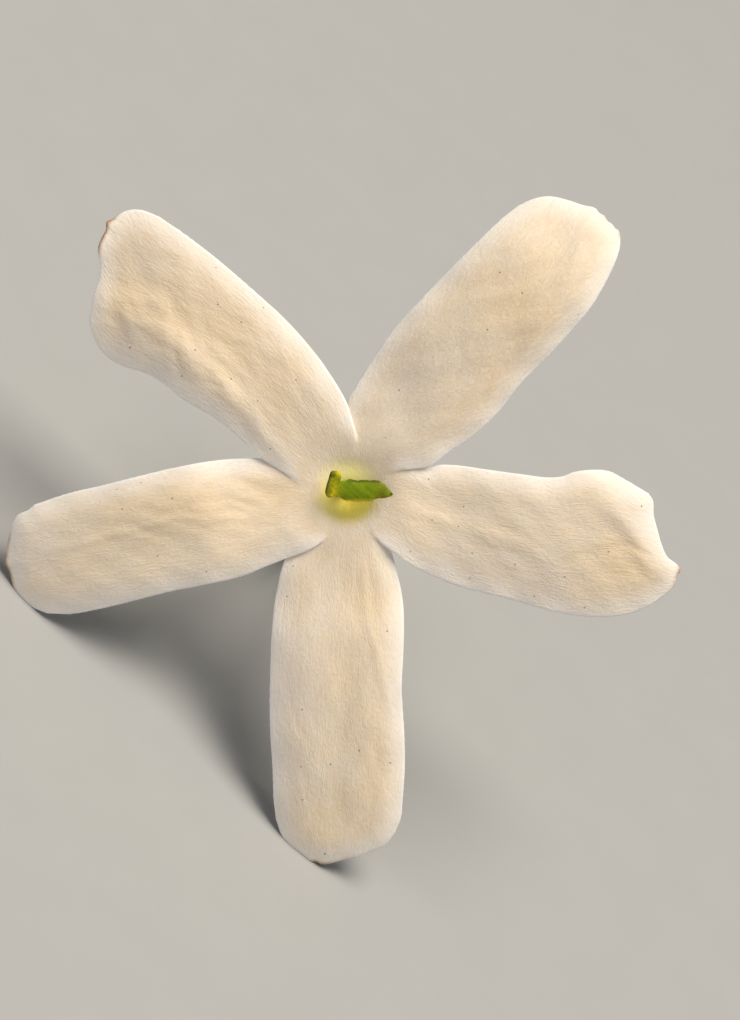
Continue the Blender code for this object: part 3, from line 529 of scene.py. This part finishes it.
speck = add_node(tree, "ShaderNodeMath", {0: speck, 1: outward}, operation="MULTIPLY").outputs[0]
colour = linear("#E4D8C6")
for share, tint in ((warmth, "#E8D4B3"), (fibres_and_wrinkle_shading, "#B39C7C"), (pale, "#FFF9F3"), (throat, "#CDBE40"),
                    (brown, "#A8742A"), (speck, "#4A3A2A")):
    colour = add_node(tree, "ShaderNodeMix", {0: share, 6: colour, 7: linear(tint)},
                      data_type="RGBA").outputs[2]
relief = add_node(tree, "ShaderNodeMath", {0: grain, 1: 0.35, 2: fibres}, operation="MULTIPLY_ADD").outputs[0]
bump = add_node(tree, "ShaderNodeBump",
                {"Height": relief, "Strength": 0.54, "Distance": 0.11 * MM}).outputs[0]
tree.links.new(colour, shader.inputs["Base Color"])
# Painted glow: an emission from the throat's attribute stands in for daylight through the thin wall and
# lightens the stigma's shadow
tree.links.new(glow, shader.inputs["Emission Strength"])
tree.links.new(bump, shader.inputs["Normal"])
shader.inputs["Emission Color"].default_value = linear("#A39A62")
shader.inputs["Roughness"].default_value = 0.55
shader.inputs["Specular IOR Level"].default_value = 0.35
shader.inputs["Subsurface Weight"].default_value = 0.4
shader.inputs["Subsurface Radius"].default_value = (1.0, 0.85, 0.65)
shader.inputs["Subsurface Scale"].default_value = 0.4 * MM

grown = [new_mesh(key, *petal_sheet(petal, number)) for number, (key, petal) in enumerate(PETALS.items())]
whole = evened(grown_together([new_mesh("tube", *tube_wall()), *grown]))
new_piece("corolla_tissue", whole, petal_tissue, "corolla")

# Pistil
#
# The green stigma that stands out of the mouth has one long fleshy lobe and one short one, grown on a
# thin style that runs down the tube to the ovary. Its lobes are covered with fine papillae.
STYLE = (  # x, y, height, radius
    (0.0, 0.0, -19.0, 0.15), (0.0, 0.0, -18.85, 0.45), (0.0, 0.0, -18.4, 0.52), (0.0, 0.0, -17.9, 0.38),
    (0.0, 0.0, -17.3, 0.22), (0.0, 0.0, -16.0, 0.19), (0.0, 0.0, -9.0, 0.19), (-0.05, 0.03, -3.0, 0.2),
    (-0.2, 0.08, -0.6, 0.21), (-0.3, 0.1, 0.1, 0.26), (-0.4, 0.1, 0.5, 0.28))
LONG_TOP = ((-1.0, 0.15), (-0.7, 0.35), (-0.39, 0.52), (-0.17, 0.5), (0.1, 0.59), (0.44, 0.54), (1.0, 0.54),
            (1.5, 0.53), (1.76, 0.47), (2.04, 0.3), (2.26, 0.02), (2.46, -0.2))
LONG_BOTTOM = ((-1.05, -0.1), (-0.95, -0.3), (-0.75, -0.38), (-0.5, -0.37), (-0.17, -0.56), (0.22, -0.62),
               (1.2, -0.62), (1.54, -0.5), (2.17, -0.41), (2.4, -0.32), (2.46, -0.24))
LONG_BODY = ((0.0, 0.5, 0.05), (0.1, 0.52, 0.3), (0.35, 0.57, 0.38), (0.6, 0.64, 0.36), (0.85, 0.72, 0.25),
             (1.0, 0.78, 0.04))   # share of the length, height of the middle, half thickness
SHORT_LEFT = ((-0.7, -0.42), (-1.0, -0.41), (-1.17, -0.35), (-1.25, -0.15), (-1.17, 0.3), (-1.08, 0.6),
              (-0.97, 0.95), (-0.88, 1.04), (-0.75, 1.06))
SHORT_RIGHT = ((-0.6, -0.38), (-0.5, -0.25), (-0.55, 0.05), (-0.5, 0.35), (-0.4, 0.6), (-0.37, 0.8),
               (-0.42, 0.96), (-0.55, 1.04), (-0.68, 1.06))
SHORT_BODY = ((0.0, 0.5, 0.05), (0.12, 0.55, 0.24), (0.45, 0.68, 0.25), (0.75, 0.78, 0.22),
              (0.93, 0.86, 0.14), (1.0, 0.88, 0.04))


def skin(rings):
    """A closed surface over rings of points, each end shut by a fan to the middle of its ring."""
    count, around = rings.shape[:2]
    numbers = np.arange(count * around).reshape(count, around)
    numbers = np.hstack((numbers, numbers[:, :1]))
    first = [(count * around, b, a) for a, b in zip(numbers[0, :-1], numbers[0, 1:])]
    last = [(count * around + 1, a, b) for a, b in zip(numbers[-1, :-1], numbers[-1, 1:])]
    points = np.vstack((rings.reshape(-1, 3), rings[:1].mean(1), rings[-1:].mean(1)))
    return points, faces_between(numbers).tolist() + first + last


def rod(path, count=60, around=24, shape=None):
    """A round rod along x, y, height, radius points: each ring is the path's point plus its radius
    times the cosine and sine of the turn on two directions square to the path. shape may change the
    radius by the turn and the share of the length."""
    shares = np.linspace(0.0, 1.0, count)
    line = curve_through(path, shares)
    ahead = np.gradient(line[:, :3], axis=0)
    ahead /= np.linalg.norm(ahead, axis=1)[:, None]
    across = np.cross(np.tile((0.0, 1.0, 0.0), (count, 1)), ahead)
    across /= np.linalg.norm(across, axis=1)[:, None]
    up = np.cross(ahead, across)
    turn = np.arange(around) * 2 * np.pi / around
    radius = line[:, 3:] * (1.0 + 0 * turn if shape is None else shape(turn, shares[:, None]))
    return skin(line[:, None, :3] + radius[..., None] * (np.cos(turn)[:, None] * across[:, None]
                                                         + np.sin(turn)[:, None] * up[:, None]))


def lobe(left, right, body, count=70, around=48):
    """A fleshy lobe between its left and right edge, seen from the front and looking along it. Each
    ring is an oval: half the distance between the edges times the cosine, and the half thickness
    upwards times a power of the sine, so that its face is nearly flat. Fine wrinkles make the face
    lumpy, and three sines notch the edges."""
    shares = np.linspace(0.0, 1.0, count)
    a, b = curve_through(left, shares), curve_through(right, shares)
    body = np.array(body)
    height, half = (np.interp(shares, body[:, 0], body[:, k]) for k in (1, 2))
    turn = np.arange(around) * 2 * np.pi / around
    wide = 0.5 * (a - b)[:, None] * np.cos(turn)[:, None] + 0.5 * (a + b)[:, None]
    up = height[:, None] + half[:, None] * np.sign(np.sin(turn)) * np.abs(np.sin(turn)) ** 0.6
    rings = np.concatenate((wide, up[..., None]), -1)
    x, y = rings[..., 0], rings[..., 1]
    ends = smooth(shares, 0.0, 0.15)[:, None] * (1 - smooth(shares, 0.85, 1.0))[:, None]
    rings[..., 2] += 0.006 * ends * crinkle(y, x, 7, 0.2, (0.8, 2.0))
    notches = 0.014 * np.sin(8.3 * x + 0.8) + 0.01 * np.sin(19 * x) + 0.006 * np.sin(31 * x + y)
    rings[..., 1] += ends * np.abs(np.cos(turn)) * notches
    return skin(rings)


# Stigma tissue: wet, fleshy and bright green, darker on the rim that stands up, yellow where it is
# thin, brown where it has aged at the tip and on the left, with small brown spots towards both ends.
# Its papillae are 0.08 mm across.
stigma_tissue, tree, shader = new_material("wet_green_stigma")
place = add_node(tree, "ShaderNodeTexCoord").outputs["Object"]
age, light_side, spotted = (add_node(tree, "ShaderNodeAttribute", attribute_name=name).outputs["Fac"]
                            for name in ("age", "yellow", "spots"))
papillae = add_node(tree, "ShaderNodeTexVoronoi",
                    {"Vector": place, "Scale": 1 / (0.08 * MM)}).outputs["Distance"]
blotch = add_node(tree, "ShaderNodeTexNoise",
                  {"Vector": place, "Scale": 1 / (0.5 * MM), "Detail": 3.0}).outputs[0]
spots = add_node(tree, "ShaderNodeTexNoise", {"Vector": place, "Scale": 1 / (0.16 * MM)}).outputs[0]
spots = add_node(tree, "ShaderNodeMapRange", {"Value": spots, "From Min": 0.5, "From Max": 0.62}).outputs[0]
spots = add_node(tree, "ShaderNodeMath", {0: spots, 1: spotted}, operation="MULTIPLY").outputs[0]
colour = linear("#5C7200")
for share, tint in ((blotch, "#8A9E00"), (light_side, "#D8C41C"), (spots, "#8C5A0A"), (age, "#3C3512")):
    colour = add_node(tree, "ShaderNodeMix", {0: share, 6: colour, 7: linear(tint)},
                      data_type="RGBA").outputs[2]
bump = add_node(tree, "ShaderNodeBump", {"Height": papillae, "Strength": 0.5, "Distance": 0.03 * MM},
                invert=True).outputs[0]
tree.links.new(colour, shader.inputs["Base Color"])
tree.links.new(bump, shader.inputs["Normal"])
shader.inputs["Roughness"].default_value = 0.5
shader.inputs["Specular IOR Level"].default_value = 0.18
shader.inputs["Subsurface Weight"].default_value = 0.12
shader.inputs["Subsurface Radius"].default_value = (0.8, 1.0, 0.2)
shader.inputs["Subsurface Scale"].default_value = 0.3 * MM


def stigma_values(x, y, z):
    """How brown, how yellow and how spotted the pistil is at a place: sums of soft patches."""
    left_edge = x + 1.25 - 0.27 * np.clip((y + 0.12) / 1.07, 0.0, 1.0)
    age = (np.exp(-((x - 2.43) / 0.1) ** 2 - ((y + 0.22) / 0.1) ** 2)
           + 0.7 * (1.0 - smooth(left_edge, 0.04, 0.15)) * smooth(z, 0.5, 0.9)
           + 0.7 * smooth(y, 0.34, 0.5) * smooth(x, -0.1, 0.3) * (1.0 - smooth(x, 1.9, 2.2))
           + 0.6 * np.exp(-((x + 0.85) / 0.15) ** 2 - ((y - 0.74) / 0.09) ** 2)
           + 0.4 * np.exp(-((x + 1.0) / 0.08) ** 2 - ((y + 0.1) / 0.3) ** 2)
           + 0.3 * np.exp(-((x - 2.05) / 0.3) ** 2 - ((y + 0.05) / 0.25) ** 2))
    yellow = (0.9 * np.exp(-((x + 0.8) / 0.32) ** 2 - ((y + 0.34) / 0.14) ** 2)
              + 0.85 * smooth(-y, 0.42, 0.6) * smooth(x, -0.4, 0.0) * (1.0 - smooth(x, 1.5, 1.9))
              + 0.5 * np.exp(-((x + 0.8) / 0.35) ** 2 - ((y - 0.1) / 0.6) ** 2)
              + 0.8 * smooth(y, 0.6, 0.95) * smooth(x, -0.75, -0.5) + 0.3 * smooth(-z, 0.0, 3.0))
    spots = (0.8 * np.exp(-((x + 0.85) / 0.3) ** 2) * (0.35 + 0.65 * smooth(np.abs(y - 0.2), 0.2, 0.5))
             + 0.5 * smooth(x, 0.6, 2.0))
    return {"age": np.clip(age, 0.0, 1.0), "yellow": np.clip(yellow, 0.0, 1.0), "spots": spots}


parts = {"style": rod(STYLE), "long_lobe": lobe(LONG_TOP, LONG_BOTTOM, LONG_BODY),
         "short_lobe": lobe(SHORT_LEFT, SHORT_RIGHT, SHORT_BODY)}
grown = [new_mesh(key, points, faces, stigma_values(*points.T)) for key, (points, faces) in parts.items()]
new_piece("pistil_tissue", grown_together(grown), stigma_tissue, "pistil")

# Stamens
#
# Two of them, rooted in the tube's wall below the mouth: a short thin filament and a long anther of
# two pollen sacs side by side, with a groove between them.
STAMEN_SIDES = (62.0, 242.0)
STAMEN = (  # distance from the axis, height, radius
    (1.0, -7.6, 0.08), (0.9, -6.8, 0.1), (0.8, -6.1, 0.1), (0.72, -5.8, 0.16), (0.66, -5.4, 0.24),
    (0.64, -4.6, 0.26), (0.64, -4.1, 0.24), (0.62, -3.7, 0.17), (0.6, -3.45, 0.07))

# Pollen sacs: dry, pale yellow and dusty with grains of 0.05 mm
pollen_sac, tree, shader = new_material("dusty_pollen_sac")
place = add_node(tree, "ShaderNodeTexCoord").outputs["Object"]
grains = add_node(tree, "ShaderNodeTexNoise", {"Vector": place, "Scale": 1 / (0.05 * MM)}).outputs[0]
colour = add_node(tree, "ShaderNodeMix", {0: grains, 6: linear("#C9A94A"), 7: linear("#EAD684")},
                  data_type="RGBA").outputs[2]
bump = add_node(tree, "ShaderNodeBump", {"Height": grains, "Strength": 0.6, "Distance": 0.02 * MM}).outputs[0]
tree.links.new(colour, shader.inputs["Base Color"])
tree.links.new(bump, shader.inputs["Normal"])
shader.inputs["Roughness"].default_value = 0.8


def grooved(facing):
    """A shape for a rod: past half its length it is drawn in by 30 percent on the side that faces
    that way and on the one opposite."""
    return lambda turn, share: 1.0 - 0.3 * smooth(share, 0.4, 0.55) * np.abs(np.cos(turn - facing)) ** 6


for number, degrees in enumerate(STAMEN_SIDES, 1):
    facing = math.radians(degrees)
    path = [(r * math.cos(facing), r * math.sin(facing), z, radius) for r, z, radius in STAMEN]
    points, faces = rod(path, 50, 32, grooved(facing))
    sacs = new_mesh(f"sacs_{number}", points, faces)
    new_piece(f"stamen_sacs_{number}", sacs, pollen_sac, f"stamen_{number}")

# Calyx and stalk
#
# A small green cup with five narrow teeth holds the foot of the tube. It grew as one piece with the
# receptacle under it and the short stalk, which was cut across when the flower was picked.
CUP_PROFILE = (  # radius, height: up inside the cup, over its rim and down the outside
    (0.02, -19.35), (1.2, -19.35), (1.42, -19.1), (1.44, -17.5), (1.56, -17.32), (1.7, -17.38),
    (1.79, -17.6), (1.84, -18.4), (1.72, -19.2), (1.35, -19.8), (0.9, -20.3), (0.62, -20.9),
    (0.52, -21.8), (0.48, -23.5), (0.48, -25.2), (0.53, -26.0), (0.52, -26.16), (0.4, -26.2), (0.02, -26.2))
TOOTH_TURNS = (16.3, 90.9, 159.3, 227.8, 304.8)
TOOTH = (  # distance from the axis, height, radius
    (1.74, -19.0, 0.06), (1.76, -18.7, 0.2), (1.76, -17.6, 0.3), (1.79, -16.4, 0.28), (1.9, -15.0, 0.22),
    (2.1, -13.6, 0.14), (2.25, -12.9, 0.08), (2.35, -12.35, 0.03))

# Calyx skin: matt green with a paler bloom, darker in the furrows with painted shade, brown where the stalk
# was cut
calyx_skin, tree, shader = new_material("matt_green_calyx_skin")
place = add_node(tree, "ShaderNodeTexCoord").outputs["Object"]
blotch = add_node(tree, "ShaderNodeTexNoise",
                  {"Vector": place, "Scale": 1 / (0.6 * MM), "Detail": 3.0}).outputs[0]
grain = add_node(tree, "ShaderNodeTexNoise", {"Vector": place, "Scale": 1 / (0.09 * MM)}).outputs[0]
furrow_shade, cut = (add_node(tree, "ShaderNodeAttribute", attribute_name=name).outputs["Fac"]
               for name in ("furrow_shade", "cut"))
colour = linear("#55762A")
for share, tint in ((blotch, "#7F9C48"), (furrow_shade, "#3C5A1E"), (cut, "#B59C62")):
    colour = add_node(tree, "ShaderNodeMix", {0: share, 6: colour, 7: linear(tint)},
                      data_type="RGBA").outputs[2]
bump = add_node(tree, "ShaderNodeBump", {"Height": grain, "Strength": 0.5, "Distance": 0.03 * MM}).outputs[0]
tree.links.new(colour, shader.inputs["Base Color"])
tree.links.new(bump, shader.inputs["Normal"])
shader.inputs["Roughness"].default_value = 0.6
shader.inputs["Subsurface Weight"].default_value = 0.15
shader.inputs["Subsurface Radius"].default_value = (0.5, 1.0, 0.3)
shader.inputs["Subsurface Scale"].default_value = 0.3 * MM


def ribbed_cup(count=180, around=120):
    """The cup's profile turned round the axis, its outside pushed out by 4 percent under each tooth
    and drawn in between, with eight finer ribs down the stalk. How far it is drawn in is given back."""
    shares = np.linspace(0.0, 1.0, count)
    profile = curve_through(CUP_PROFILE, shares)
    turn = np.arange(around) * 2 * np.pi / around
    radius, height = profile[:, :1], profile[:, 1:]
    outside = smooth(shares[:, None], 0.36, 0.44)
    apart = turn[:, None] - np.radians(TOOTH_TURNS)
    nearest = np.abs((apart + np.pi) % (2 * np.pi) - np.pi).min(1)
    rib = 0.04 * np.cos(np.clip(nearest / 0.6, 0, 1) * np.pi) * (1 - smooth(-height, 19.6, 21.5))
    rib = outside * (rib + 0.035 * np.cos(8 * turn + 0.15 * height) * smooth(-height, 20.0, 22.0))
    radius = radius * (1 + rib)
    rings = np.stack((radius * np.cos(turn), radius * np.sin(turn), height + 0 * turn), -1)
    furrow_shade = np.clip(-rib * 16, 0, 1).ravel()
    return skin(rings[:, ::-1]), np.concatenate((furrow_shade, (0.0, 0.0)))


def calyx_mesh(name, points, faces, furrow_shade=0.0):
    """A mesh that also knows how deep its furrows are, which sets the painted shade in them, and where the
    stalk was cut across.
    """
    cut = smooth(-points[:, 2], 26.12, 26.19)
    return new_mesh(name, points, faces, {"furrow_shade": furrow_shade + 0 * cut, "cut": cut})


(points, faces), furrow_shade = ribbed_cup()
grown = [calyx_mesh("cup", points, faces, furrow_shade)]
for degrees in TOOTH_TURNS:
    c, s = math.cos(math.radians(degrees)), math.sin(math.radians(degrees))
    tooth = rod([(r * c, r * s, z, radius) for r, z, radius in TOOTH], 48, 20)
    grown.append(calyx_mesh("tooth", *tooth))
new_piece("calyx_skin", grown_together(grown), calyx_skin, "calyx")

# Floor, light and camera
#
# A matt pale board, one large soft lamp straight above with a warm tint, a cooler one low on the left
# in front, and pale surroundings. The camera looks straight into the flower's face from 0.35 m.
board, tree, shader = new_material("matt_pale_board")
place = add_node(tree, "ShaderNodeTexCoord").outputs["Object"]
mottle = add_node(tree, "ShaderNodeTexNoise",
                  {"Vector": place, "Scale": 1 / (4.0 * MM), "Detail": 4.0}).outputs[0]
colour = add_node(tree, "ShaderNodeMix", {0: mottle, 6: linear("#A5A6A4"), 7: linear("#A9AAA8")},
                  data_type="RGBA").outputs[2]
tree.links.new(colour, shader.inputs["Base Color"])
shader.inputs["Roughness"].default_value = 0.85
mesh = bpy.data.meshes.new("floor")
mesh.from_pydata([(-3, -3, 0), (3, -3, 0), (3, 3, 0), (-3, 3, 0)], [], [(0, 1, 2, 3)])
mesh.materials.append(board)
floor = bpy.data.objects.new("floor", mesh)
bpy.context.scene.collection.objects.link(floor)

world = bpy.data.worlds.new("pale_surroundings")
bpy.context.scene.world = world
world.use_nodes = True
world.node_tree.nodes["Background"].inputs["Color"].default_value = linear("#E6EBF2")
world.node_tree.nodes["Background"].inputs["Strength"].default_value = 0.26
LAMPS = (  # direction to the lamp, distance, side length, watts, colour
    ("key", (0.0, 0.0, 1.0), 0.6, 0.4, 4.8, "#FFF5E8"),
    ("fill", (-0.25, -1.0, 0.25), 0.8, 0.5, 0.9, "#E2E8FF"))
middle = Vector(MOUTH) * MM
for name, direction, distance, size, watts, tint in LAMPS:
    lamp = bpy.data.lights.new(name, "AREA")
    lamp.size = size
    lamp.energy = watts
    lamp.color = linear(tint)[:3]
    holder = bpy.data.objects.new(name, lamp)
    bpy.context.scene.collection.objects.link(holder)
    direction = Vector(direction).normalized()
    holder.location = middle + direction * distance
    holder.rotation_euler = (-direction).to_track_quat("-Z", "Y").to_euler()

lens = bpy.data.cameras.new("camera")
lens.sensor_width = 36.0
lens.lens = 36.0 * 350.0 / 56.1    # 56.1 mm of the flower's plane fill the frame's long side
lens.clip_start, lens.clip_end = 0.01, 20.0
camera = bpy.data.objects.new("camera", lens)
bpy.context.scene.collection.objects.link(camera)
turn = Matrix(FACE_TURN.tolist())
camera.matrix_world = (Matrix.Translation((turn @ Vector((1.21, -1.1, 350.0)) + Vector(MOUTH)) * MM)
                       @ turn.to_4x4())
bpy.context.scene.camera = camera
bpy.context.scene.view_settings.view_transform = "Standard"
